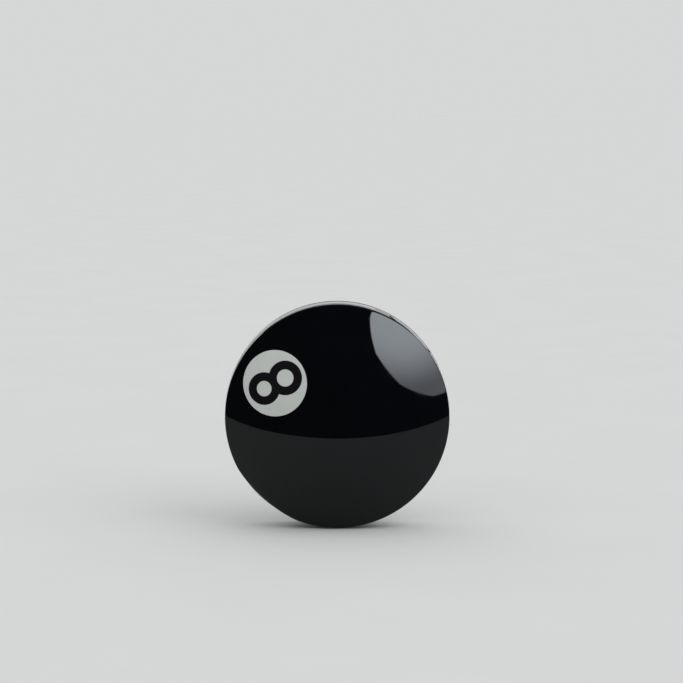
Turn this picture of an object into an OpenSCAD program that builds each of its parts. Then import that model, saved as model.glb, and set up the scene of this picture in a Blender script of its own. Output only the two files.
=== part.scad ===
// Round compact case with a domed lid, standing on its edge.
// Local frame of every sub-part: z = 0 is the split between base and lid,
// +z points out of the dome, +x is right and +y is up as seen from the front.

/* [Case] */
// Radius of the lid's side
lid_r = 35; // [35:0.5:36]
// How far the base stands out beyond the lid's side
base_step = 0.3; // [0.3:0.1:0.5]
// Depth of the base, from its back face to the split
base_depth = 6.4; // [6.4:0.1:7]
// Depth of the hollow's straight side in the lid, from the split
lid_depth = 6.4; // [6.4:0.1:7]
// Radius of the dome, as a multiple of the lid's radius
dome_ratio = 1.83; // [1.8:0.01:1.9]
// Wall thickness of the lid
wall = 1.6; // [1.5:0.1:1.7]
// Width of the pale band, measured from the split
band_width = 3.4; // [3:0.1:3.6]

/* [Number] */
// Direction of the number spot from the centre, anticlockwise from +x
spot_at = 149.3; // [0:0.1:360]
// Distance of the spot from the centre, as a share of the lid's radius
spot_out = 0.641; // [0.3:0.001:0.65]
// Radius of the spot, as a share of the lid's radius
spot_size = 0.29; // [0.28:0.005:0.3]
// Direction in which the top of the numeral points
numeral_up = 207.3; // [0:0.1:360]

/* [Hinge] */
// Direction of the hinge from the centre
hinge_at = 48; // [30:1:60]
// Total width of the three knuckles
hinge_width = 17; // [15:0.5:17]
// Outer radius of the knuckles
barrel_r = 1.4; // [1.3:0.05:1.4]
// Radius of the hinge pin
pin_r = 0.6; // [0.55:0.05:0.65]

/* [Inside] */
// Radius of the mirror glass
mirror_r = 29.5; // [28:0.5:29.5]
// Radius of the powder pan
pan_r = 27.1; // [26:0.1:27.1]
// Radius of the powder puff
puff_r = 25.5; // [24:0.5:25.5]
// Radius of the closing magnets
magnet_r = 1; // [0.9:0.1:1]

/* [Hidden] */
$fn = 160;

small = 0.1;
cut_deep = 10;
big = 100;
part_gap = 0.1;
split_gap = 0.2;

// Outer shape
base_r = lid_r + base_step;
dome_r = dome_ratio * lid_r;
edge_at = lid_r - wall;
dome_drop = sqrt(pow(dome_r - wall, 2) - pow(edge_at, 2));
dome_z = lid_depth - dome_drop;
lid_edge_r = 0.5;
lid_edge_z = dome_z + sqrt(pow(dome_r - lid_edge_r, 2) - pow(lid_r - lid_edge_r, 2));
tangent_r = (lid_r - lid_edge_r) * dome_r / (dome_r - lid_edge_r);
apex_z = dome_z + dome_r;
back_edge_r = 2;

// Print on the dome
print_depth = 0.2;
print_tilt = 5.5;
print_reach = 24;
spot_x = lid_r * spot_out;
spot_z = dome_z + sqrt(pow(dome_r, 2) - pow(spot_x, 2));
loop_gap = 0.213 * lid_r;
small_loop_r = 0.143 * lid_r;
big_loop_r = 0.151 * lid_r;
small_hole_r = 0.0675 * lid_r;
big_hole_r = 0.075 * lid_r;

// Thumb catch, opposite the hinge
catch_at = hinge_at + 180;
catch_reach = 20;
relief_depth = 0.5;
relief_back = 10.8;
relief_half_width = 13;
catch_out = 0.6;
catch_front = -0.3;
catch_height = 2.3;

// Lid inside
frame_r = edge_at - part_gap;
frame_low = 0.4;
mirror_low = 3.2;
mirror_thick = 1.8;
lip_in = mirror_r - 1.3;
backing_thick = 1;
backing_r = frame_r - 1.8;
magnet_long = 1.6;
magnet_play = 0.05;
magnet_spread = 6;
magnet_wall = 0.3;
bumper_spread = 28;
bumper_r = 1.1;
bumper_thick = 0.5;

// Base inside
band_in = base_r - 1;
spigot_r = band_in - small;
cup_in = spigot_r - 1.5;
floor_thick = 1.2;
tray_r = cup_in - part_gap;
magnet_at = tray_r - magnet_wall - magnet_play - magnet_r;
tray_low = floor_thick - base_depth;
tray_top = -0.3;
tray_floor = 0.6;
pad_thick = 0.4;
pan_low = tray_low + tray_floor + pad_thick;
pan_top = -1;
pan_wall = 0.4;
cake_top = -1.3;
cake_play = 0.05;
puff_low = -1.1;
puff_thick = 3.5;
ribbon_width = 12;
ribbon_length = 43;
ribbon_thick = 0.35;
ribbon_turn = 30;

// Hinge, inside the round outline: the lid and the base are notched round it
hinge_d = lid_r - 2.1;
hinge_gap = 0.3;
middle_half = 3.85;
notch_d = hinge_d - barrel_r - 0.1;
notch_half = 13.2;
lid_notch = 3.45;
base_notch = 1.75;
pin_clearance = 0.05;
pin_press = 0.01;
leaf_inset = 0.4;
leaf_in = 1.4;

// Places the case as it stands: face to the front, resting on the edge of its base
module standing() {
  translate([0, (apex_z - base_depth) / 2, base_r]) rotate([90, 0, 0]) children();
}

// Turns to a direction on the rim, so that +x points outwards and y runs along the rim
module towards(angle) {
  rotate([0, 0, angle]) children();
}

module ring(outer, inner, low, high) {
  translate([0, 0, low]) difference() {
    cylinder(r = outer, h = high - low);
    translate([0, 0, -small]) cylinder(r = inner, h = high - low + 2 * small);
  }
}

module disc(r, low, high) {
  translate([0, 0, low]) cylinder(r = r, h = high - low);
}

// Space round the three knuckles, from low to high
module hinge_notch(low, high) {
  towards(hinge_at) translate([notch_d, -notch_half, low]) cube([cut_deep, 2 * notch_half, high - low]);
}

// Cylinder along the hinge axis, from one place on it to another
module along_hinge(r, from, to, sides = 48) {
  towards(hinge_at) translate([hinge_d, from, 0]) rotate([-90, 0, 0])
    cylinder(r = r, h = to - from, $fn = sides);
}

// One knuckle with the leaf that joins it to its frame, side = 1 for the lid, -1 for the base
module knuckle(from, to, side) {
  along_hinge(barrel_r, from, to);
  leaf_low = side > 0 ? leaf_inset : -barrel_r;
  towards(hinge_at) translate([notch_d - leaf_in, from, leaf_low])
    cube([hinge_d - notch_d + leaf_in, to - from, barrel_r - leaf_inset]);
}

// Part of a round dome's outline from its axis out to a radius
module dome_profile(r, out_to) {
  intersection() {
    translate([0, dome_z]) circle(r = r, $fn = 360);
    translate([0, lid_depth - small]) square([out_to, big]);
  }
}

// Outline of the domed lid, whose dome runs into a small edge radius
module lid_outline() {
  square([lid_r, lid_edge_z]);
  translate([lid_r - lid_edge_r, lid_edge_z]) circle(r = lid_edge_r, $fn = 48);
  dome_profile(dome_r, tangent_r);
}

module lid_hollow() {
  square([edge_at, lid_depth]);
  dome_profile(dome_r - wall, edge_at);
}

module thumb_relief() {
  towards(catch_at) difference() {
    translate([edge_at, -relief_half_width, -small]) cube([cut_deep, 2 * relief_half_width, cut_deep]);
    translate([-relief_back, 0, -1]) cylinder(r = lid_r - relief_depth + relief_back, h = 2 * cut_deep);
  }
}

// Skin of the dome, print_depth thick
module dome_skin(extra = 0) {
  translate([0, 0, dome_z]) difference() {
    sphere(r = dome_r + extra, $fn = 240);
    sphere(r = dome_r - print_depth, $fn = 240);
  }
}

// Puts a flat print on the dome at the number spot
module at_spot() {
  towards(spot_at) translate([spot_x, 0, spot_z]) rotate([0, print_tilt, 0])
    rotate([0, 0, -spot_at]) children();
}

module spot_cutter() {
  at_spot() cylinder(r = lid_r * spot_size, h = print_reach, center = true, $fn = 96);
}

// Two loops that overlap at the waist, with round counters
module eight_cutter() {
  at_spot() rotate([0, 0, numeral_up]) difference() {
    union() {
      translate([loop_gap / 2, 0, 0]) cylinder(r = small_loop_r, h = print_reach - 2, center = true, $fn = 72);
      translate([-loop_gap / 2, 0, 0]) cylinder(r = big_loop_r, h = print_reach - 2, center = true, $fn = 72);
    }
    translate([loop_gap / 2, 0, 0]) cylinder(r = small_hole_r, h = print_reach, center = true, $fn = 48);
    translate([-loop_gap / 2, 0, 0]) cylinder(r = big_hole_r, h = print_reach, center = true, $fn = 48);
  }
}

module lid_shell() {
  color("black") standing() difference() {
    rotate_extrude() difference() {
      intersection() {
        lid_outline();
        translate([0, split_gap]) square(big);
      }
      lid_hollow();
    }
    hinge_notch(-small, lid_notch);
    thumb_relief();
    intersection() {
      dome_skin(1);
      spot_cutter();
    }
  }
}

module number_spot() {
  color("white") standing() difference() {
    intersection() {
      dome_skin();
      spot_cutter();
    }
    eight_cutter();
  }
}

module numeral_eight() {
  color("black") standing() intersection() {
    dome_skin();
    eight_cutter();
  }
}

module mirror_frame() {
  color("dimgray") standing() difference() {
    union() {
      difference() {
        disc(frame_r, frame_low, lid_depth);
        disc(lip_in, -small, lid_depth);
        disc(mirror_r + part_gap, mirror_low, lid_depth + small);
        hinge_notch(-small, lid_notch);
      }
      knuckle(-hinge_width / 2, -middle_half - hinge_gap, 1);
      knuckle(middle_half + hinge_gap, hinge_width / 2, 1);
    }
    along_hinge(barrel_r + hinge_gap, -middle_half - hinge_gap, middle_half + hinge_gap);
    along_hinge(pin_r + pin_clearance, -hinge_width, hinge_width);
    for (turn = [-magnet_spread, magnet_spread])
      towards(catch_at + turn) translate([magnet_at, 0, frame_low - small])
        cylinder(r = magnet_r + magnet_play, h = magnet_long + small, $fn = 32);
  }
}

module mirror() {
  color("lightsteelblue") standing() disc(mirror_r, mirror_low, mirror_low + mirror_thick);
}

module mirror_tape() {
  color("gainsboro") standing() disc(mirror_r - 1, mirror_low + mirror_thick, lid_depth);
}

module mirror_backing() {
  color("gray") standing() disc(backing_r, lid_depth, lid_depth + backing_thick);
}

module lid_magnets() {
  color("silver") standing() for (turn = [-magnet_spread, magnet_spread])
    towards(catch_at + turn) translate([magnet_at, 0, frame_low])
      cylinder(r = magnet_r, h = magnet_long - small, $fn = 32);
}

module lid_bumpers() {
  color("whitesmoke") standing() for (turn = [-bumper_spread, bumper_spread])
    towards(catch_at + turn) translate([magnet_at, 0, frame_low - bumper_thick])
      cylinder(r = bumper_r, h = bumper_thick, $fn = 32);
}

// Half section of the base: a shallow cup with a step that the band sits on
module base_profile() {
  difference() {
    union() {
      translate([0, -base_depth]) square([base_r - back_edge_r, base_depth - band_width]);
      translate([0, -base_depth + back_edge_r]) square([base_r, base_depth - band_width - back_edge_r]);
      translate([base_r - back_edge_r, -base_depth + back_edge_r]) intersection() {
        circle(r = back_edge_r, $fn = 48);
        translate([0, -back_edge_r]) square(back_edge_r);
      }
      translate([0, -band_width - small]) square([spigot_r, band_width + small + tray_top]);
    }
    translate([-small, tray_low]) square([cup_in + small, big]);
    translate([-big, -big]) square([big, 2 * big]);
  }
}

module base_shell() {
  color("black") standing() difference() {
    rotate_extrude() base_profile();
    hinge_notch(-base_notch, small);
  }
}

module rim_band() {
  color("white") standing() difference() {
    ring(base_r, band_in, -band_width, 0);
    hinge_notch(-base_notch, small);
  }
}

// Crescent that stands out of the band where a thumb lifts the lid
module thumb_catch() {
  reach = base_r * cos(catch_reach);
  tip = base_r + catch_out;
  centre = (pow(tip, 2) - pow(base_r, 2)) / (2 * (tip - reach));
  color("white") standing() difference() {
    towards(catch_at) translate([centre, 0, catch_front - catch_height])
      cylinder(r = tip - centre, h = catch_height);
    translate([0, 0, -band_width]) cylinder(r = base_r, h = band_width + small);
  }
}

module base_frame() {
  color("dimgray") standing() difference() {
    union() {
      difference() {
        disc(tray_r, tray_low, tray_top);
        disc(pan_r + part_gap, tray_low + tray_floor, small);
      }
      knuckle(-middle_half, middle_half, -1);
    }
    along_hinge(pin_r + pin_press, -hinge_width, hinge_width);
    along_hinge(barrel_r + hinge_gap, middle_half, hinge_width / 2 + hinge_gap);
    along_hinge(barrel_r + hinge_gap, -hinge_width / 2 - hinge_gap, -middle_half);
    for (turn = [-magnet_spread, magnet_spread])
      towards(catch_at + turn) translate([magnet_at, 0, tray_top - magnet_long])
        cylinder(r = magnet_r + magnet_play, h = magnet_long + small, $fn = 32);
  }
}

module powder_pan() {
  color("gainsboro") standing() difference() {
    disc(pan_r, pan_low, pan_top);
    disc(pan_r - pan_wall, pan_low + pan_wall, pan_top + small);
  }
}

module pan_pad() {
  color("white") standing() disc(pan_r - 3, pan_low - pad_thick, pan_low);
}

module powder_cake() {
  color("bisque") standing() disc(pan_r - pan_wall - cake_play, pan_low + pan_wall, cake_top);
}

module powder_puff() {
  edge = puff_thick / 2;
  color("mistyrose") standing() translate([0, 0, puff_low]) rotate_extrude() {
    square([puff_r - edge, puff_thick]);
    translate([puff_r - edge, edge]) intersection() {
      circle(r = edge, $fn = 32);
      translate([0, -edge]) square([edge, 2 * edge]);
    }
  }
}

module puff_ribbon() {
  color("pink") standing() towards(ribbon_turn)
    translate([-ribbon_length / 2, -ribbon_width / 2, puff_low + puff_thick])
      cube([ribbon_length, ribbon_width, ribbon_thick]);
}

module base_magnets() {
  color("silver") standing() for (turn = [-magnet_spread, magnet_spread])
    towards(catch_at + turn) translate([magnet_at, 0, tray_top - magnet_long + small])
      cylinder(r = magnet_r, h = magnet_long - small, $fn = 32);
}

module hinge_pin() {
  color("silver") standing() along_hinge(pin_r, 0.1 - hinge_width / 2, hinge_width / 2 - 0.1);
}

lid_shell();
number_spot();
numeral_eight();
mirror_frame();
mirror();
mirror_tape();
mirror_backing();
lid_magnets();
lid_bumpers();
base_shell();
rim_band();
thumb_catch();
base_frame();
powder_pan();
pan_pad();
powder_cake();
powder_puff();
puff_ribbon();
base_magnets();
hinge_pin();
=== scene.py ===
"""Looks of a round compact case whose domed lid is printed like a number 8 pool ball.

The case stands on its edge, face towards -Y. Meshes are built in the case's own frame, where z = 0 is
the split between base and lid, +z points out of the dome, +x is right and +y is up, in metres.
"""
import math

import bmesh
import bpy
from mathutils import Matrix, Vector
from mathutils.geometry import delaunay_2d_cdt


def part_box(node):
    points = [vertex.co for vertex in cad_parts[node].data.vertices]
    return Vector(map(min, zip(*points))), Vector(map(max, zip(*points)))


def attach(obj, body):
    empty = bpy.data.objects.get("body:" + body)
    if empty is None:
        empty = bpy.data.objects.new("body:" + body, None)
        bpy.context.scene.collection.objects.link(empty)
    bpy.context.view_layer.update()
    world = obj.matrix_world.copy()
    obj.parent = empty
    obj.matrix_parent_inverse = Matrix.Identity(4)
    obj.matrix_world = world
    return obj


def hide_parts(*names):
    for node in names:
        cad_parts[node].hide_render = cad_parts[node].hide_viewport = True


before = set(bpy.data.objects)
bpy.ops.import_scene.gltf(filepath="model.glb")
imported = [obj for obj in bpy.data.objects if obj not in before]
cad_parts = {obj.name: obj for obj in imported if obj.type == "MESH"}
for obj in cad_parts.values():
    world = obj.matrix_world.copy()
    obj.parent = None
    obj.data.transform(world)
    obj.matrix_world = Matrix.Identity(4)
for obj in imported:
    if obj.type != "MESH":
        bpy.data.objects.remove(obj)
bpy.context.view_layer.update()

MM = 0.001
TURN = 2 * math.pi
SEGMENTS = 288

# Sizes and places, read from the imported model
LID_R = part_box("lid_shell")[1].x
BASE_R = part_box("rim_band")[1].x
SPLIT_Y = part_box("rim_band")[0].y
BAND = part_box("rim_band")[1].y - SPLIT_Y
BASE_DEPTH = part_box("base_shell")[1].y - SPLIT_Y
APEX = SPLIT_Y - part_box("lid_shell")[0].y
MIRROR_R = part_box("mirror")[1].x
MIRROR_LOW = SPLIT_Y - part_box("mirror")[1].y
MIRROR_TOP = SPLIT_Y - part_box("mirror")[0].y
PAN_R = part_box("powder_pan")[1].x
PAN_LOW = SPLIT_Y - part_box("powder_pan")[1].y
PAN_TOP = SPLIT_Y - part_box("powder_pan")[0].y
CAKE_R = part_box("powder_cake")[1].x
CAKE_LOW = SPLIT_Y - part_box("powder_cake")[1].y
CAKE_TOP = SPLIT_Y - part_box("powder_cake")[0].y
PUFF_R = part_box("powder_puff")[1].x
PUFF_LOW = SPLIT_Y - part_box("powder_puff")[1].y
PUFF_TOP = SPLIT_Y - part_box("powder_puff")[0].y
RIBBON_TOP = SPLIT_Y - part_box("puff_ribbon")[0].y

# The lid's outline: a straight side, a small edge radius and the dome
WALL = 1.6 * MM
SPLIT_GAP = 0.2 * MM
HOLLOW_DEPTH = 6.4 * MM
EDGE_R = 0.5 * MM
RISE = APEX - HOLLOW_DEPTH
DOME_R = (RISE ** 2 + (LID_R - WALL) ** 2 - WALL ** 2) / (2 * (RISE - WALL))
DOME_Z = APEX - DOME_R
EDGE_AT = LID_R - EDGE_R
DOME_EDGE = math.asin(EDGE_AT / (DOME_R - EDGE_R))
LID_DEPTH = DOME_Z + (DOME_R - EDGE_R) * math.cos(DOME_EDGE)

# The print: a spot with a figure made of two loops
SPOT_AT = math.radians(149.3)
SPOT_OUT = 0.641 * LID_R
SPOT_R = 0.29 * LID_R
PRINT_TILT = math.radians(5.5)
NUMERAL_UP = math.radians(207.3)
LOOP_GAP = 0.213 * LID_R
SMALL_LOOP = (0.143 * LID_R, 0.0675 * LID_R)
BIG_LOOP = (0.151 * LID_R, 0.075 * LID_R)
INK = 0.012 * MM
PRINT_UNDER = 0.1 * MM
PRINT_PITCH = 0.45 * MM
PRINT_CLEAR = 0.25 * MM

# Hinge and thumb catch
HINGE_AT = math.radians(48)
HINGE_D = LID_R - 2.1 * MM
BARREL_R = 1.4 * MM
NOTCH_HALF = 13.2 * MM
LID_NOTCH = 3.45 * MM
BASE_NOTCH = 1.75 * MM
NOTCH_PLAY = 0.1 * MM
NOTCH_DEEP = 10 * MM
NOTCH_PAST = 2 * MM
CATCH_AT = HINGE_AT + math.pi
CATCH_REACH = math.radians(20)
CATCH_OUT = 0.6 * MM
CATCH_FRONT = -0.3 * MM
CATCH_HEIGHT = 2.3 * MM
RELIEF = 0.5 * MM
RELIEF_BACK = 10.8 * MM

# The base cup, in section
BACK_EDGE = 2 * MM
BAND_SEAM = 0.02 * MM
STEP_EDGE = 0.12 * MM
SPIGOT_R = BASE_R - 1.1 * MM
CUP_RIM = 0.3 * MM
CUP_EDGE = 0.15 * MM
CUP_R = BASE_R - 2.6 * MM
BASE_FLOOR = 1.2 * MM

STANDING = Matrix.Translation((0, SPLIT_Y, BASE_R)) @ Matrix.Rotation(math.pi / 2, 4, "X")


# ---------------------------------------------------------------- mesh helpers

def new_piece(name, bm):
    mesh = bpy.data.meshes.new(name)
    bm.normal_update()
    bm.to_mesh(mesh)
    bm.free()
    piece = bpy.data.objects.new(name, mesh)
    bpy.context.scene.collection.objects.link(piece)
    return piece


def arc(cx, cy, radius, start, end, steps):
    """Points on an arc, angles in radians from +x."""
    angles = [start + (end - start) * i / steps for i in range(steps + 1)]
    return [(cx + radius * math.cos(a), cy + radius * math.sin(a)) for a in angles]


def rounded(corners, steps=6):
    """A closed outline with each corner (x, y, radius) rounded off."""
    outline = []
    for i, (x, y, radius) in enumerate(corners):
        here = Vector((x, y))
        before = Vector(corners[i - 1][:2]) - here
        after = Vector(corners[(i + 1) % len(corners)][:2]) - here
        if radius <= 0:
            outline.append((x, y))
            continue
        half = before.angle(after) / 2
        reach = min(radius / math.tan(half), 0.49 * before.length, 0.49 * after.length)
        start = here + before.normalized() * reach
        end = here + after.normalized() * reach
        for k in range(steps + 1):
            t = k / steps
            outline.append(tuple(start * (1 - t) ** 2 + here * 2 * t * (1 - t) + end * t ** 2))
    return outline


def lathe(name, outline, steps=SEGMENTS, closed=True, shape=None):
    """Turns an outline of (radius, z) points about z. shape moves each point (x, y, z)."""
    bm = bmesh.new()
    rings = []
    for radius, z in outline:
        if radius < 1e-7:
            rings.append([bm.verts.new((0, 0, z))])
            continue
        ring = []
        for k in range(steps):
            angle = TURN * k / steps
            point = (radius * math.cos(angle), radius * math.sin(angle), z)
            ring.append(bm.verts.new(shape(*point) if shape else point))
        rings.append(ring)
    pairs = list(zip(rings, rings[1:])) + ([(rings[-1], rings[0])] if closed else [])
    for low, high in pairs:
        for k in range(steps):
            corners = [low[k % len(low)], low[(k + 1) % len(low)],
                       high[(k + 1) % len(high)], high[k % len(high)]]
            corners = list(dict.fromkeys(corners))
            if len(corners) > 2:
                bm.faces.new(corners)
    bmesh.ops.recalc_face_normals(bm, faces=bm.faces)
    return new_piece(name, bm)


def block(size, place):
    """A box to cut with, from its size and a matrix for its middle."""
    bm = bmesh.new()
    bmesh.ops.create_cube(bm, size=1, matrix=place @ Matrix.Diagonal((*size, 1)))
    return new_piece("cutter", bm)


def combine(piece, operation, *others):
    """Applies a boolean with each of the others, and removes them."""
    for other in others:
        modifier = piece.modifiers.new("combine", "BOOLEAN")
        modifier.operation = operation
        modifier.solver = "EXACT"
        modifier.object = other
        bpy.context.view_layer.update()
        graph = bpy.context.evaluated_depsgraph_get()
        mesh = bpy.data.meshes.new_from_object(piece.evaluated_get(graph))
        piece.modifiers.clear()
        old = piece.data
        piece.data = mesh
        bpy.data.meshes.remove(old)
        bpy.data.objects.remove(other)
    return piece


def smooth(piece, sharp=32):
    piece.data.shade_smooth()
    piece.data.set_sharp_from_angle(angle=math.radians(sharp))
    return piece


def finish_piece(piece, body, slot, material, *nodes):
    """Stands the piece in the row frame, says what it rides on, and hides the nodes that it stands for."""
    piece.data.transform(STANDING)
    piece.data.update()
    give(piece, material)
    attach(piece, body)
    if nodes:
        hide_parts(*nodes)
    return piece


def give(piece, material):
    piece.data.materials.clear()
    piece.data.materials.append(material)


# ------------------------------------------------------------ material helpers

def shader(name, **values):
    """A material with one Principled shader, its sockets set by name."""
    material = bpy.data.materials.new(name)
    material.use_nodes = True
    nodes = material.node_tree.nodes
    principled = nodes["Principled BSDF"]
    for key, value in values.items():
        principled.inputs[key.replace("_", " ")].default_value = value
    return material, nodes, material.node_tree.links, principled


def grain(nodes, links, scale, stretch=(1, 1, 1), detail=3.0, kind="ShaderNodeTexNoise"):
    """A noise in object space, scale in features a metre, stretched along the axes."""
    place = nodes.new("ShaderNodeTexCoord")
    mapping = nodes.new("ShaderNodeMapping")
    mapping.inputs["Scale"].default_value = stretch
    noise = nodes.new(kind)
    noise.inputs["Scale"].default_value = scale
    if "Detail" in noise.inputs:
        noise.inputs["Detail"].default_value = detail
    links.new(place.outputs["Object"], mapping.inputs["Vector"])
    links.new(mapping.outputs["Vector"], noise.inputs["Vector"])
    return noise.outputs[0]


def ramp(nodes, links, source, low, high, start=0.3, end=0.7):
    """Maps a value between two colours or greys."""
    node = nodes.new("ShaderNodeValToRGB")
    for element, place, value in zip(node.color_ramp.elements, (start, end), (low, high)):
        element.position = place
        element.color = (value, value, value, 1) if isinstance(value, float) else (*value, 1)
    links.new(source, node.inputs["Fac"])
    return node.outputs["Color"]


def bump(nodes, links, principled, layers):
    """Stacks height layers of (source, distance in metres) into one bump."""
    before = None
    for source, distance in layers:
        node = nodes.new("ShaderNodeBump")
        node.inputs["Distance"].default_value = distance
        links.new(source, node.inputs["Height"])
        if before:
            links.new(before, node.inputs["Normal"])
        before = node.outputs["Normal"]
    links.new(before, principled.inputs["Normal"])


def gloss_plastic(name, low, high, roughness=0.03, sheen=0.25):
    """Lacquered plastic: faint flow in the surface, a haze of wiping, and specks of dust."""
    material, nodes, links, principled = shader(
        name, Roughness=roughness, IOR=1.5, Specular_IOR_Level=sheen)
    links.new(ramp(nodes, links, grain(nodes, links, 60), low, high), principled.inputs["Base Color"])
    haze = ramp(nodes, links, grain(nodes, links, 130, detail=6), roughness, roughness + 0.06, 0.5, 0.8)
    links.new(haze, principled.inputs["Roughness"])
    specks = grain(nodes, links, 420, kind="ShaderNodeTexVoronoi")
    dust = ramp(nodes, links, specks, 1.0, 0.0, 0.035, 0.06)
    bump(nodes, links, principled, [(grain(nodes, links, 55, detail=1), 0.03 * MM),
                                    (grain(nodes, links, 340, detail=2), 0.0016 * MM),
                                    (dust, 0.012 * MM)])
    return material


def polished_metal(name, tint, roughness, line_scale=9000):
    """Plated metal with fine lines across y, the axis of the case."""
    material, nodes, links, principled = shader(name, Metallic=1.0, Roughness=roughness)
    lines = grain(nodes, links, line_scale, (0.004, 1, 0.004))
    cloud = grain(nodes, links, 150)
    links.new(ramp(nodes, links, cloud, tuple(0.9 * c for c in tint), tint), principled.inputs["Base Color"])
    links.new(ramp(nodes, links, lines, roughness * 0.7, roughness * 1.6), principled.inputs["Roughness"])
    bump(nodes, links, principled, [(lines, 0.002 * MM), (cloud, 0.004 * MM)])
    return material


def satin_plastic(name, low, high, roughness=0.42):
    """Moulded inner plastic with a fine spark-eroded texture."""
    material, nodes, links, principled = shader(name, Roughness=roughness, IOR=1.49)
    fine = grain(nodes, links, 5200, detail=4)
    links.new(ramp(nodes, links, grain(nodes, links, 140), low, high), principled.inputs["Base Color"])
    links.new(ramp(nodes, links, fine, roughness - 0.08, roughness + 0.1), principled.inputs["Roughness"])
    bump(nodes, links, principled, [(fine, 0.012 * MM), (grain(nodes, links, 90), 0.03 * MM)])
    return material


def mirror_glass(name):
    """Silvered glass, with a trace of wiping marks."""
    material, nodes, links, principled = shader(name, Metallic=1.0, Roughness=0.012)
    wipe = grain(nodes, links, 260, (1, 1, 0.08), detail=6)
    principled.inputs["Base Color"].default_value = (0.88, 0.9, 0.9, 1)
    links.new(ramp(nodes, links, wipe, 0.008, 0.05, 0.5, 0.8), principled.inputs["Roughness"])
    return material


def foam(name, low, high):
    """Closed-cell foam or soft rubber."""
    material, nodes, links, principled = shader(name, Roughness=0.8)
    cells = grain(nodes, links, 3500, kind="ShaderNodeTexVoronoi")
    links.new(ramp(nodes, links, cells, low, high, 0.1, 0.6), principled.inputs["Base Color"])
    bump(nodes, links, principled, [(cells, 0.05 * MM)])
    return material


def powder(name, low, high):
    """Pressed powder: soft, dry, with fine grains and a little mica."""
    material, nodes, links, principled = shader(name, Roughness=0.85, Sheen_Weight=0.25)
    fine = grain(nodes, links, 9000, detail=6)
    patches = grain(nodes, links, 220, detail=4)
    links.new(ramp(nodes, links, patches, low, high), principled.inputs["Base Color"])
    links.new(ramp(nodes, links, fine, 0.65, 0.95), principled.inputs["Roughness"])
    bump(nodes, links, principled, [(fine, 0.02 * MM), (patches, 0.05 * MM)])
    return material


def velour(name, low, high):
    """Short pile fabric: sheen, clumps of pile and a fine fibre grain."""
    material, nodes, links, principled = shader(name, Roughness=0.95, Sheen_Weight=0.8, Sheen_Roughness=0.4)
    fibres = grain(nodes, links, 12000, detail=4)
    clumps = grain(nodes, links, 1300, detail=5)
    links.new(ramp(nodes, links, clumps, low, high, 0.35, 0.65), principled.inputs["Base Color"])
    bump(nodes, links, principled, [(clumps, 0.16 * MM), (fibres, 0.05 * MM)])
    return material


def satin(name, low, high):
    """Satin ribbon: fine threads drawn out along z."""
    material, nodes, links, principled = shader(
        name, Roughness=0.32, Sheen_Weight=0.5, Sheen_Roughness=0.3, Anisotropic=0.5)
    threads = grain(nodes, links, 6000, (1, 1, 0.08), detail=2)
    links.new(ramp(nodes, links, threads, low, high), principled.inputs["Base Color"])
    links.new(ramp(nodes, links, threads, 0.26, 0.42), principled.inputs["Roughness"])
    bump(nodes, links, principled, [(threads, 0.02 * MM)])
    return material


BLACK = gloss_plastic("black_gloss", (0.0013, 0.0015, 0.0024), (0.0022, 0.0024, 0.0034))
WHITE_INK = gloss_plastic("white_print", (0.52, 0.55, 0.53), (0.58, 0.60, 0.585), 0.06)
BLACK_INK = gloss_plastic("black_print", (0.005, 0.005, 0.006), (0.008, 0.008, 0.009), 0.06)
PALE = satin_plastic("pale_band", (0.78, 0.79, 0.79), (0.84, 0.85, 0.85), 0.26)
NICKEL = polished_metal("magnet_nickel", (0.66, 0.65, 0.63), 0.25, 4000)
TINNED = polished_metal("tinned_pan", (0.72, 0.72, 0.71), 0.32, 6000)
PIN_STEEL = polished_metal("pin_steel", (0.6, 0.6, 0.6), 0.28, 7000)
INNER = satin_plastic("inner_plastic", (0.018, 0.018, 0.02), (0.026, 0.026, 0.028))
MIRROR = mirror_glass("mirror_silver")
FOAM = foam("foam_tape", (0.6, 0.6, 0.57), (0.78, 0.78, 0.75))
RUBBER = foam("bumper_rubber", (0.55, 0.55, 0.54), (0.66, 0.66, 0.65))
POWDER = powder("pressed_powder", (0.66, 0.42, 0.29), (0.72, 0.48, 0.34))
VELOUR = velour("puff_velour", (0.62, 0.40, 0.35), (0.74, 0.52, 0.46))
SATIN = satin("satin_ribbon", (0.45, 0.16, 0.17), (0.56, 0.23, 0.24))


# -------------------------------------------------------------------- the lid

def towards(angle, place=Matrix.Identity(4)):
    return Matrix.Rotation(angle, 4, "Z") @ place


def notch_block(low, high):
    """The space that the hinge needs, between two heights."""
    inner = HINGE_D - BARREL_R - NOTCH_PLAY
    middle = Matrix.Translation((inner + NOTCH_DEEP / 2, 0, (low + high) / 2))
    return block((NOTCH_DEEP, 2 * NOTCH_HALF, high - low), towards(HINGE_AT, middle))


def relieve(x, y, z):
    """Flattens the lid's edge a little where a thumb goes."""
    radius = math.hypot(x, y)
    turn = math.atan2(y, x) - CATCH_AT
    inner = LID_R - WALL
    if radius <= inner or math.cos(turn) < 0:
        return x, y, z
    circle = LID_R - RELIEF + RELIEF_BACK
    limit = math.sqrt(circle ** 2 - (RELIEF_BACK * math.sin(turn)) ** 2) - RELIEF_BACK * math.cos(turn)
    if limit >= LID_R:
        return x, y, z
    scaled = inner + (radius - inner) * (limit - inner) / WALL
    return x * scaled / radius, y * scaled / radius, z


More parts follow.
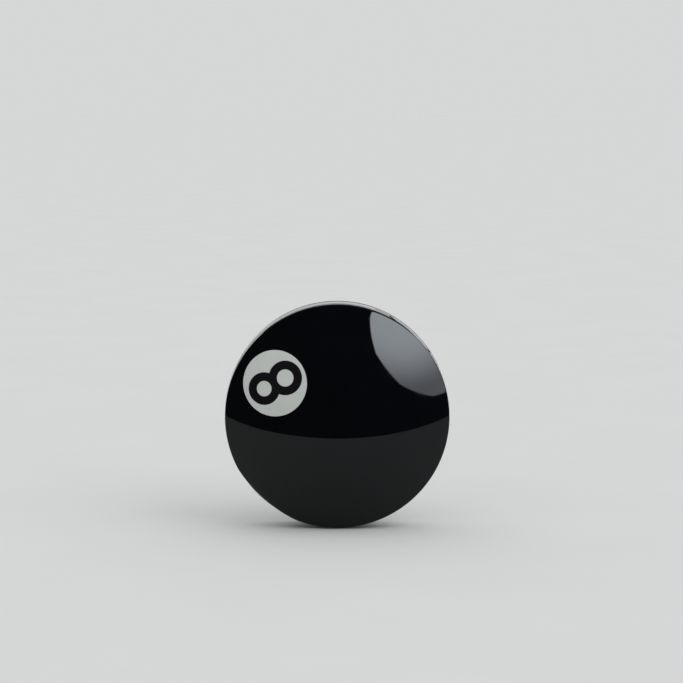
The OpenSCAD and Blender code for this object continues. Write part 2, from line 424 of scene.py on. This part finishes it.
def lid_outline():
    soft = 0.2 * MM
    rim = [(LID_R - soft, SPLIT_GAP), (LID_R - 0.06 * MM, SPLIT_GAP + 0.06 * MM),
           (LID_R, SPLIT_GAP + soft), (LID_R, LID_DEPTH / 2)]
    roll = arc(EDGE_AT, LID_DEPTH, EDGE_R, 0, math.pi / 2 - DOME_EDGE, 12)
    dome = arc(0, DOME_Z, DOME_R, math.pi / 2 - DOME_EDGE, math.pi / 2, 96)[1:-1]
    hollow = LID_R - WALL
    hollow_edge = math.acos(hollow / (DOME_R - WALL))
    inside = arc(0, DOME_Z, DOME_R - WALL, math.pi / 2, hollow_edge, 40)[1:]
    return rim + roll + dome + [(0, APEX), (0, APEX - WALL)] + inside + [(hollow, SPLIT_GAP)]


def use_dome_normals(piece):
    """Gives the faces that lie on the dome the dome's own exact normals."""
    mesh = piece.data
    centre = Vector((0, 0, DOME_Z))
    normals = []
    for face in mesh.polygons:
        for k in face.vertices:
            out = (mesh.vertices[k].co - centre).normalized()
            normals.append(out if face.normal.dot(out) > 0.95 else face.normal)
    mesh.normals_split_custom_set(normals)


def at_spot():
    """The print's own frame: on the dome at the spot, with x along the numeral's upright."""
    height = DOME_Z + math.sqrt(DOME_R ** 2 - SPOT_OUT ** 2)
    tilt = Matrix.Rotation(PRINT_TILT, 4, "Y") @ Matrix.Rotation(-SPOT_AT, 4, "Z")
    return towards(SPOT_AT, Matrix.Translation((SPOT_OUT, 0, height)) @ tilt)


def circle(x, y, radius, steps):
    return [(x + radius * math.cos(TURN * k / steps), y + radius * math.sin(TURN * k / steps))
            for k in range(steps)]


def eight_outline(steps=150):
    """The outside of two overlapping circles, as one closed line."""
    small, big = SMALL_LOOP[0], BIG_LOOP[0]
    meet = (small ** 2 - big ** 2) / (2 * LOOP_GAP)
    from_small = math.acos((LOOP_GAP / 2 + meet) / small)
    from_big = math.acos((LOOP_GAP / 2 - meet) / big)
    right = arc(LOOP_GAP / 2, 0, small, from_small - math.pi, math.pi - from_small, steps)
    left = arc(-LOOP_GAP / 2, 0, big, from_big, TURN - from_big, steps)
    return right[:-1] + left[:-1]


def inside(point, loop):
    """Whether a point lies inside a closed line."""
    x, y = point
    odd = False
    for (x0, y0), (x1, y1) in zip(loop, loop[1:] + loop[:1]):
        if (y0 > y) != (y1 > y) and x < x0 + (y - y0) * (x1 - x0) / (y1 - y0):
            odd = not odd
    return odd


def onto_dome(place, x, y, lift):
    """Carries a flat point along the print's axis onto the dome, standing out by lift."""
    start = place @ Vector((x, y, 0)) - Vector((0, 0, DOME_Z))
    axis = place.to_3x3() @ Vector((0, 0, 1))
    along = start.dot(axis)
    beyond = start.length_squared - (DOME_R + lift) ** 2
    return start + axis * (math.sqrt(along ** 2 - beyond) - along) + Vector((0, 0, DOME_Z))


def printed(point, outer, holes):
    return inside(point, outer) and not any(inside(point, hole) for hole in holes)


def flat_print(outer, holes):
    """The print laid flat: its points, and triangles between them."""
    loops = [outer] + holes
    points = [Vector(p) for loop in loops for p in loop]
    edges = []
    for loop in loops:
        first = len(edges)
        edges += [(first + k, first + (k + 1) % len(loop)) for k in range(len(loop))]
    count = int(max(math.hypot(*p) for p in outer) / PRINT_PITCH)
    for i in range(-count, count + 1):
        for j in range(-count, count + 1):
            here = Vector(((i + (j % 2) / 2) * PRINT_PITCH, j * PRINT_PITCH))
            near = min((here - p).length for p in points[:len(edges)])
            if near > PRINT_CLEAR and printed(here, outer, holes):
                points.append(here)
    result = delaunay_2d_cdt(points, edges, [], 1, 1e-9)
    return result[0], result[2]


def print_skin(name, place, outer, holes, lift):
    """A thin layer of ink on the dome, inside the outer line and outside the holes."""
    flat, faces = flat_print(outer, holes)
    bm = bmesh.new()
    top = [bm.verts.new(onto_dome(place, p.x, p.y, lift)) for p in flat]
    low = [bm.verts.new(onto_dome(place, p.x, p.y, -PRINT_UNDER)) for p in flat]
    for face in faces:
        middle = sum((flat[k] for k in face), Vector((0, 0))) / len(face)
        if printed(middle, outer, holes):
            bm.faces.new([top[k] for k in face])
            bm.faces.new([low[k] for k in reversed(face)])
    pair = {a: b for a, b in zip(top, low)}
    rim = [e for e in bm.edges if len(e.link_faces) == 1 and e.verts[0] in pair]
    for edge in rim:
        a, b = edge.verts
        bm.faces.new([b, a, pair[a], pair[b]])
    loose = [v for v in bm.verts if not v.link_faces]
    bmesh.ops.delete(bm, geom=loose, context="VERTS")
    bmesh.ops.recalc_face_normals(bm, faces=bm.faces)
    return new_piece(name, bm)


def make_lid():
    shell = lathe("lid_dome", lid_outline(), shape=relieve)
    combine(shell, "DIFFERENCE", notch_block(-NOTCH_PAST, LID_NOTCH))
    smooth(shell)
    finish_piece(shell, "lid", "black_gloss", BLACK, "lid_shell")

    spot = print_skin("number_spot_print", at_spot(), circle(0, 0, SPOT_R, 240), [], INK)
    use_dome_normals(spot)
    finish_piece(spot, "lid", "white_print", WHITE_INK, "number_spot")

    holes = [circle(LOOP_GAP / 2, 0, SMALL_LOOP[1], 96), circle(-LOOP_GAP / 2, 0, BIG_LOOP[1], 104)]
    upright = at_spot() @ Matrix.Rotation(NUMERAL_UP, 4, "Z")
    eight = print_skin("numeral_eight_print", upright, eight_outline(), holes, 2 * INK)
    use_dome_normals(eight)
    finish_piece(eight, "lid", "black_print", BLACK_INK, "numeral_eight")

    bevel = 0.7 * MM
    glass = lathe("mirror_disc", [(0, MIRROR_LOW), (MIRROR_R - bevel, MIRROR_LOW),
                                  (MIRROR_R, MIRROR_LOW + 0.25 * MM), (MIRROR_R, MIRROR_TOP - 0.1 * MM),
                                  (MIRROR_R - 0.1 * MM, MIRROR_TOP), (0, MIRROR_TOP)], closed=False)
    finish_piece(smooth(glass, 10), "lid", "mirror_glass", MIRROR, "mirror")


# ------------------------------------------------------------------- the base

def make_base():
    back = rounded([(0, -BASE_DEPTH, 0), (BASE_R, -BASE_DEPTH, BACK_EDGE),
                    (BASE_R, -BAND - BAND_SEAM, STEP_EDGE), (SPIGOT_R, -BAND - BAND_SEAM, 0),
                    (SPIGOT_R, -CUP_RIM, CUP_EDGE), (CUP_R, -CUP_RIM, CUP_EDGE),
                    (CUP_R, BASE_FLOOR - BASE_DEPTH, 0), (0, BASE_FLOOR - BASE_DEPTH, 0)])
    shell = lathe("base_cup", back, closed=False)
    combine(shell, "DIFFERENCE", notch_block(-BASE_NOTCH, NOTCH_PAST))
    finish_piece(smooth(shell), "base", "black_gloss", BLACK, "base_shell")

    ring = rounded([(BASE_R - MM, -BAND, 0.1 * MM), (BASE_R, -BAND, 0.2 * MM),
                    (BASE_R, 0, 0.28 * MM), (BASE_R - MM, 0, 0.2 * MM)], 8)
    band = lathe("bright_ring", ring)
    combine(band, "DIFFERENCE", notch_block(-BASE_NOTCH, NOTCH_PAST))
    finish_piece(smooth(band), "base", "pale_band", PALE, "rim_band")

    finish_piece(smooth(catch_lip(), 50), "base", "pale_band", PALE, "thumb_catch")

    rim = 0.18 * MM
    pan = lathe("pressed_pan", rounded([
        (0, PAN_LOW, 0), (PAN_R, PAN_LOW, 0.6 * MM), (PAN_R, PAN_TOP, rim),
        (PAN_R - 0.4 * MM, PAN_TOP, rim), (PAN_R - 0.4 * MM, PAN_LOW + 0.4 * MM, 0.3 * MM),
        (0, PAN_LOW + 0.4 * MM, 0)]), closed=False)
    finish_piece(smooth(pan), "base", "tinned_pan", TINNED, "powder_pan")
    finish_piece(smooth(cake(), 60), "base", "pressed_powder", POWDER, "powder_cake")


def catch_lip():
    """A crescent that grows out of the band, with soft edges."""
    tip = BASE_R + CATCH_OUT
    reach = BASE_R * math.cos(CATCH_REACH)
    middle = (tip ** 2 - BASE_R ** 2) / (2 * (tip - reach))
    root = BASE_R - 0.3 * MM
    low, high = CATCH_FRONT - CATCH_HEIGHT, CATCH_FRONT
    bm = bmesh.new()
    sections = []
    steps = 96
    for i in range(steps + 1):
        turn = CATCH_REACH * (2 * i / steps - 1)
        out = middle * math.cos(turn) + math.sqrt((tip - middle) ** 2 - (middle * math.sin(turn)) ** 2)
        out = max(out, BASE_R + 0.01 * MM)
        soft = min(0.25 * MM, 0.6 * (out - root))
        section = rounded([(root, low, 0), (out, low, soft), (out, high, soft), (root, high, 0)], 5)
        angle = CATCH_AT + turn
        sections.append([bm.verts.new((r * math.cos(angle), r * math.sin(angle), z)) for r, z in section])
    for before, after in zip(sections, sections[1:]):
        for k in range(len(before)):
            bm.faces.new([before[k - 1], before[k], after[k], after[k - 1]])
    bm.faces.new(sections[0])
    bm.faces.new(sections[-1][::-1])
    bmesh.ops.recalc_face_normals(bm, faces=bm.faces)
    return new_piece("thumb_lip", bm)


def cake():
    """Pressed powder with a shallow woven emboss and a plain rim."""
    plain = 2.2 * MM
    pitch = 1.9 * MM
    relief = 0.11 * MM
    rise = 0.12 * MM
    rings = 110

    def emboss(x, y, z):
        radius = math.hypot(x, y)
        if z < CAKE_TOP - 0.3 * MM:
            return x, y, z
        fade = min(1, max(0, (CAKE_R - plain - radius) / (0.5 * MM)))
        warp = math.cos(TURN * x / pitch) * math.cos(TURN * y / pitch)
        return x, y, z - relief * fade * (1 - warp) / 2

    side = [(0, CAKE_LOW), (CAKE_R, CAKE_LOW), (CAKE_R, CAKE_TOP - 0.4 * MM)]
    top = [(CAKE_R * (1 - i / rings), CAKE_TOP - rise * (1 - i / rings) ** 2) for i in range(rings)]
    return lathe("pressed_cake", side + top + [(0, CAKE_TOP)], closed=False, shape=emboss)


# --------------------------------------------------------------- the soft puff

CLOTH_SCALE = 10
CLOTH_STEPS = 20
PUFF_INSET = 0.7 * MM
PUFF_HALF = 0.9 * MM
PUFF_CROWN = 0.25 * MM
PUFF_CAP = 0.42 * MM
SEAM_WIDTH = 0.9 * MM
PUFF_REST = 0.02 * MM


def swell(piece, pinned, cap):
    """Swells a closed mesh with a cloth simulation. Points that move beyond cap are pulled back to it."""
    big = CLOTH_SCALE
    piece.data.transform(Matrix.Scale(big, 4))
    rest = [v.co.copy() for v in piece.data.vertices]
    group = piece.vertex_groups.new(name="seam")
    group.add([i for i, v in enumerate(rest) if pinned(v / big)], 1.0, "REPLACE")
    modifier = piece.modifiers.new("swell", "CLOTH")
    settings = modifier.settings
    settings.quality = 5
    settings.mass = 0.2
    settings.tension_stiffness = 12
    settings.compression_stiffness = 8
    settings.bending_stiffness = 0.4
    settings.use_pressure = True
    settings.uniform_pressure_force = 4
    settings.vertex_group_mass = "seam"
    settings.effector_weights.gravity = 0
    modifier.point_cache.frame_start = 1
    modifier.point_cache.frame_end = CLOTH_STEPS
    for step in range(1, CLOTH_STEPS + 1):
        bpy.context.scene.frame_set(step)
    graph = bpy.context.evaluated_depsgraph_get()
    mesh = bpy.data.meshes.new_from_object(piece.evaluated_get(graph))
    for vertex, start in zip(mesh.vertices, rest):
        move = vertex.co - start
        if move.length > cap * big:
            vertex.co = start + move.normalized() * cap * big
    piece.modifiers.clear()
    piece.data = mesh
    piece.vertex_groups.clear()
    bpy.context.scene.frame_set(1)
    mesh.transform(Matrix.Scale(1 / big, 4))


def refine(piece, levels=1):
    modifier = piece.modifiers.new("refine", "SUBSURF")
    modifier.levels = levels
    modifier.render_levels = levels
    graph = bpy.context.evaluated_depsgraph_get()
    mesh = bpy.data.meshes.new_from_object(piece.evaluated_get(graph))
    piece.modifiers.clear()
    piece.data = mesh


def puff_outline(radius, half, crown, steps=26):
    """Half section of a pad that is thin at its seam and crowned in the middle."""
    side = [(radius * math.sin(math.pi / 2 * i / steps),
             half + crown * math.cos(math.pi / 2 * i / steps) - half * (i / steps) ** 6)
            for i in range(steps + 1)]
    return [(r, -z) for r, z in side] + [(r, z) for r, z in reversed(side[:-1])]


def make_puff():
    middle = (PUFF_LOW + PUFF_TOP) / 2
    radius = PUFF_R - PUFF_INSET
    puff = lathe("velour_puff", puff_outline(radius, PUFF_HALF, PUFF_CROWN), 120, closed=False)
    swell(puff, lambda v: math.hypot(v.x, v.y) > radius - SEAM_WIDTH, PUFF_CAP)
    refine(puff)
    puff.data.transform(Matrix.Translation((0, 0, middle)))
    low, high = PUFF_LOW + PUFF_REST, PUFF_TOP
    for vertex in puff.data.vertices:
        vertex.co.z = min(max(vertex.co.z, low), high)
    finish_piece(smooth(puff, 80), "base", "puff_velour", VELOUR, "powder_puff")

    piping = lathe("puff_piping", arc(radius + 0.05 * MM, middle, 0.42 * MM, 0, TURN, 16)[:-1], 240)
    finish_piece(smooth(piping, 80), "base", "puff_velour", SATIN)
    make_ribbon(radius)


RIBBON_WIDTH = 12 * MM
RIBBON_SHORT = 3.1 * MM
RIBBON_THICK = 0.14 * MM
RIBBON_TURN = math.radians(30)
RIBBON_RIPPLE = 0.05 * MM
RIBBON_DROP = 0.3 * MM
RIBBON_ACROSS = 24
RIBBON_ALONG = 120


def ribbon_point(u, v, length):
    """A point of the ribbon, u along and v across it from -1 to 1."""
    hem = RIBBON_RIPPLE * math.exp(-((abs(v) - 0.9) / 0.04) ** 2)
    wave = RIBBON_RIPPLE * math.sin(9 * u + 2 * v) * (1 - u * u)
    z = RIBBON_TOP - 0.1 * MM - 0.06 * MM + hem + wave - RIBBON_DROP * u ** 8
    return u * length / 2, v * RIBBON_WIDTH / 2 * (1 - 0.03 * u ** 6), z


def make_ribbon(radius):
    """A satin strap across the puff, just clear of its surface, with free ends inside the piping."""
    length = 2 * (radius - RIBBON_SHORT)
    bm = bmesh.new()
    rows = []
    for i in range(RIBBON_ALONG + 1):
        u = 2 * i / RIBBON_ALONG - 1
        places = [ribbon_point(u, 2 * j / RIBBON_ACROSS - 1, length) for j in range(RIBBON_ACROSS + 1)]
        rows.append([bm.verts.new(place) for place in places])
    for before, after in zip(rows, rows[1:]):
        for j in range(RIBBON_ACROSS):
            bm.faces.new([before[j], after[j], after[j + 1], before[j + 1]])
    bmesh.ops.recalc_face_normals(bm, faces=bm.faces)
    ribbon = new_piece("satin_strap", bm)
    modifier = ribbon.modifiers.new("thick", "SOLIDIFY")
    modifier.thickness = RIBBON_THICK
    modifier.offset = -1
    graph = bpy.context.evaluated_depsgraph_get()
    mesh = bpy.data.meshes.new_from_object(ribbon.evaluated_get(graph))
    ribbon.modifiers.clear()
    ribbon.data = mesh
    ribbon.data.transform(towards(RIBBON_TURN))
    finish_piece(smooth(ribbon, 60), "base", "satin_ribbon", SATIN, "puff_ribbon")


# ----------------------------------------------------------- kept CAD pieces

def dress_kept_nodes():
    for node, material in {
            "mirror_frame": INNER, "mirror_backing": INNER, "base_frame": INNER,
            "mirror_tape": FOAM, "pan_pad": FOAM, "lid_bumpers": RUBBER,
            "lid_magnets": NICKEL, "base_magnets": NICKEL, "hinge_pin": PIN_STEEL}.items():
        give(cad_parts[node], material)


# ---------------------------------------------------------------------- stage

VIEW_UP = math.radians(8)
VIEW_AWAY = 20 * LID_R
FRAME_WIDTH = 6.088 * LID_R
LEFT_OF_MIDDLE = 0.0384 * LID_R
BELOW_MIDDLE = 0.672 * LID_R


def make_camera():
    data = bpy.data.cameras.new("camera")
    data.sensor_width = 36
    data.lens = data.sensor_width * VIEW_AWAY / FRAME_WIDTH
    data.clip_start = 0.01
    data.clip_end = 100
    camera = bpy.data.objects.new("camera", data)
    bpy.context.scene.collection.objects.link(camera)
    rim = Vector((0, SPLIT_Y - HOLLOW_DEPTH, BASE_R))
    away = Vector((0, -math.cos(VIEW_UP), math.sin(VIEW_UP)))
    camera.location = rim + away * VIEW_AWAY
    pitch = math.pi / 2 - VIEW_UP + math.atan(BELOW_MIDDLE / VIEW_AWAY)
    yaw = -math.atan(LEFT_OF_MIDDLE / VIEW_AWAY)
    camera.rotation_euler = (pitch, 0, yaw)
    bpy.context.scene.camera = camera


FLOOR_FRONT = 3.0 * LID_R
FLOOR_FAR = 600 * LID_R
PAPER = 0.77


def paper():
    """Matte backdrop paper with a barely visible mottle."""
    material, nodes, links, principled = shader("backdrop_paper", Roughness=0.95, Specular_IOR_Level=0.0)
    mottle = ramp(nodes, links, grain(nodes, links, 20, detail=5), 0.99 * PAPER, 1.01 * PAPER)
    links.new(mottle, principled.inputs["Base Color"])
    bump(nodes, links, principled, [(grain(nodes, links, 700, detail=4), 0.03 * MM)])
    return material


def sheet_of_paper(name, low, high):
    bm = bmesh.new()
    corners = [(-FLOOR_FAR, low), (FLOOR_FAR, low), (FLOOR_FAR, high), (-FLOOR_FAR, high)]
    bm.faces.new([bm.verts.new((x, y, 0)) for x, y in corners])
    return new_piece(name, bm)


def make_stage():
    """One floor out to the horizon; its nearest part doesn't show in the lid."""
    material = paper()
    floor = sheet_of_paper("floor_paper", -FLOOR_FRONT, FLOOR_FAR)
    front = sheet_of_paper("floor_front", -FLOOR_FAR, -FLOOR_FRONT)
    front.visible_glossy = False
    for piece in (floor, front):
        give(piece, material)


KEY_SIDE = math.radians(60.4)
KEY_UP = math.radians(32.8)
KEY_FLAT = math.tan(math.radians(28.9))
KEY_TURN = math.radians(17.5)
KEY_HOT = (-0.16, 0.3)  # the hot point, across and up from the key's middle
KEY_LIGHT = 1.152  # on top of the fill
KEY_SHARE = 0.1282  # cosine-weighted share of the upper half sphere that the key covers
FILL_LOW = 0.538
FILL_HIGH = 0.826
FILL_SHARE = 0.7  # cosine-weighted mean of the smooth step over the upper half sphere
FLOOR_TONE = PAPER * (FILL_LOW + FILL_SHARE * (FILL_HIGH - FILL_LOW) + KEY_SHARE * KEY_LIGHT)
KEY_SHINE = (12.4, 3.6)  # the key in reflections, at its hot point and far from it
SHINE_FROM = 0.75  # cosine of the angle at which the far value is reached
KEY_SOFT = 0.015  # half width of the key's edge, as a share of its radius
DARK_ROOM = 0.03
FILL_TINT = (0.975, 1, 0.99, 1)
KEY_TINT = (0.91, 0.98, 1.06, 1)


def axes_of_key():
    out = Vector((math.sin(KEY_SIDE) * math.cos(KEY_UP), -math.cos(KEY_SIDE) * math.cos(KEY_UP),
                  math.sin(KEY_UP)))
    across = Vector((0, 0, 1)).cross(out).normalized()
    return out, across, out.cross(across)


def value_math(nodes, links, operation, first, second=None):
    """One Math node, from sockets or plain numbers."""
    node = nodes.new("ShaderNodeMath")
    node.operation = operation
    for socket, source in zip(node.inputs, (first, second)):
        if isinstance(source, (int, float)):
            socket.default_value = source
        elif source is not None:
            links.new(source, socket)
    return node.outputs["Value"]


def direction_along(nodes, links, direction, axis):
    node = nodes.new("ShaderNodeVectorMath")
    node.operation = "DOT_PRODUCT"
    links.new(direction, node.inputs[0])
    node.inputs[1].default_value = axis
    return node.outputs["Value"]


def step_between(nodes, links, value, start, end, low, high):
    """A smooth change from low to high as the value goes from start to end."""
    node = nodes.new("ShaderNodeMapRange")
    node.interpolation_type = "SMOOTHSTEP"
    for socket, number in {"From Min": start, "From Max": end, "To Min": low, "To Max": high}.items():
        node.inputs[socket].default_value = number
    links.new(value, node.inputs["Value"])
    return node.outputs["Result"]


def key_outline(nodes, links, direction):
    """How far a direction lies from the key light's middle: 1 on its edge, an octagon with bowed sides."""
    out, across, up = axes_of_key()
    ahead = direction_along(nodes, links, direction, out)
    ahead = value_math(nodes, links, "MAXIMUM", ahead, 0.001)
    widest = 0.0
    for k in range(4):
        turn = KEY_TURN + math.pi * k / 4
        side = direction_along(nodes, links, direction, across * math.cos(turn) + up * math.sin(turn))
        widest = value_math(nodes, links, "MAXIMUM", value_math(nodes, links, "ABSOLUTE", side), widest)
    cosine = value_math(nodes, links, "MULTIPLY", ahead, ahead)
    sine = value_math(nodes, links, "SQRT", value_math(nodes, links, "SUBTRACT", 1.0, cosine))
    bowed = value_math(nodes, links, "ADD", widest, value_math(nodes, links, "MULTIPLY", sine, 2.0))
    flat = value_math(nodes, links, "DIVIDE", bowed, ahead)
    return value_math(nodes, links, "DIVIDE", flat, 3 * KEY_FLAT)


def choose(nodes, links, factor, low, high):
    node = nodes.new("ShaderNodeMix")
    node.data_type = "FLOAT"
    for socket, source in (("Factor", factor), ("A", low), ("B", high)):
        if isinstance(source, float):
            node.inputs[socket].default_value = source
        else:
            links.new(source, node.inputs[socket])
    return node.outputs["Result"]


def make_world():
    """A studio: soft fill and an octagonal key for matte surfaces, only the key in reflections."""
    world = bpy.data.worlds.new("studio")
    bpy.context.scene.world = world
    world.use_nodes = True
    nodes, links = world.node_tree.nodes, world.node_tree.links
    direction = nodes.new("ShaderNodeTexCoord").outputs["Generated"]
    outline = key_outline(nodes, links, direction)
    out, across, up = axes_of_key()
    hot = (out + across * KEY_HOT[0] + up * KEY_HOT[1]).normalized()
    lit = step_between(nodes, links, outline, 1 - KEY_SOFT, 1 + KEY_SOFT, 1, 0)
    nearness = direction_along(nodes, links, direction, hot)
    shine = step_between(nodes, links, nearness, SHINE_FROM, 1, *KEY_SHINE[::-1])
    height = direction_along(nodes, links, direction, (0, 0, 1))
    fill = step_between(nodes, links, height, 0, 1, FILL_LOW, FILL_HIGH)
    path = nodes.new("ShaderNodeLightPath")
    keyed = value_math(nodes, links, "ADD", fill, value_math(nodes, links, "MULTIPLY", lit, KEY_LIGHT))
    mirrored = choose(nodes, links, lit, DARK_ROOM, shine)
    seen = choose(nodes, links, path.outputs["Is Glossy Ray"], keyed, mirrored)
    seen = choose(nodes, links, path.outputs["Is Camera Ray"], seen, FLOOR_TONE)
    tint = nodes.new("ShaderNodeMix")
    tint.data_type = "RGBA"
    tint.inputs["A"].default_value = FILL_TINT
    tint.inputs["B"].default_value = KEY_TINT
    links.new(path.outputs["Is Glossy Ray"], tint.inputs["Factor"])
    background = nodes["Background"]
    links.new(tint.outputs["Result"], background.inputs["Color"])
    links.new(seen, background.inputs["Strength"])


make_camera()
make_lid()
make_base()
make_puff()
dress_kept_nodes()
make_stage()
make_world()
bpy.context.scene.view_settings.view_transform = "Standard"
